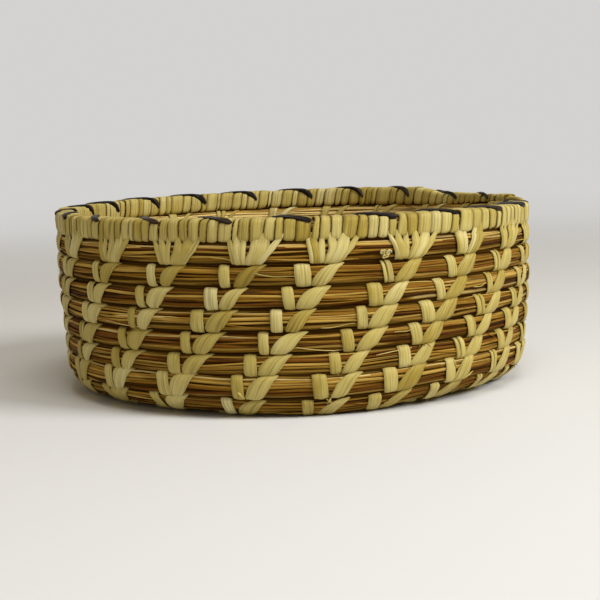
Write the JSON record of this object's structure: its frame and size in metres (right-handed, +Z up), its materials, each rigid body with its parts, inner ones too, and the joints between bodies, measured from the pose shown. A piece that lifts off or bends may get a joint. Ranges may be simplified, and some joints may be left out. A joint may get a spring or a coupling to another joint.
{
  "type": "coiled basket",
  "caption": "Small round open basket coiled from a bundle of dry grass, sewn with pale split stitches, with a wrapped rim laced with a dark strand.",
  "frame": {"origin": "middle of the basket on the plane it rests on", "axes": "+Z up out of the mouth, -Y towards the side that the picture shows, +X to its right"},
  "size_m": [0.2017, 0.2018, 0.0794],
  "materials": {
    "grass_bundle": "dry, matte",
    "pale_splint": "dry, satin",
    "dark_strand": "satin"
  },
  "bodies": {
    "root": {"rim_coil": "grass_bundle", "wall_coil": "grass_bundle", "base_coil": "grass_bundle", "wall_splint_1": "pale_splint", "wall_splint_2": "pale_splint", "wall_splint_3": "pale_splint", "wall_splint_4": "pale_splint", "wall_splint_5": "pale_splint", "wall_splint_6": "pale_splint", "wall_splint_7": "pale_splint", "wall_splint_8": "pale_splint", "rim_wrap": "pale_splint", "lacing_pass_1": "dark_strand", "lacing_pass_2": "dark_strand", "lacing_pass_3": "dark_strand", "lacing_pass_4": "dark_strand", "lacing_pass_5": "dark_strand", "lacing_pass_6": "dark_strand", "lacing_pass_7": "dark_strand", "lacing_pass_8": "dark_strand", "lacing_pass_9": "dark_strand", "lacing_pass_10": "dark_strand", "lacing_pass_11": "dark_strand", "lacing_pass_12": "dark_strand", "lacing_pass_13": "dark_strand", "lacing_pass_14": "dark_strand", "lacing_pass_15": "dark_strand", "lacing_pass_16": "dark_strand", "lacing_pass_17": "dark_strand", "lacing_pass_18": "dark_strand"}
  },
  "joints": []
}
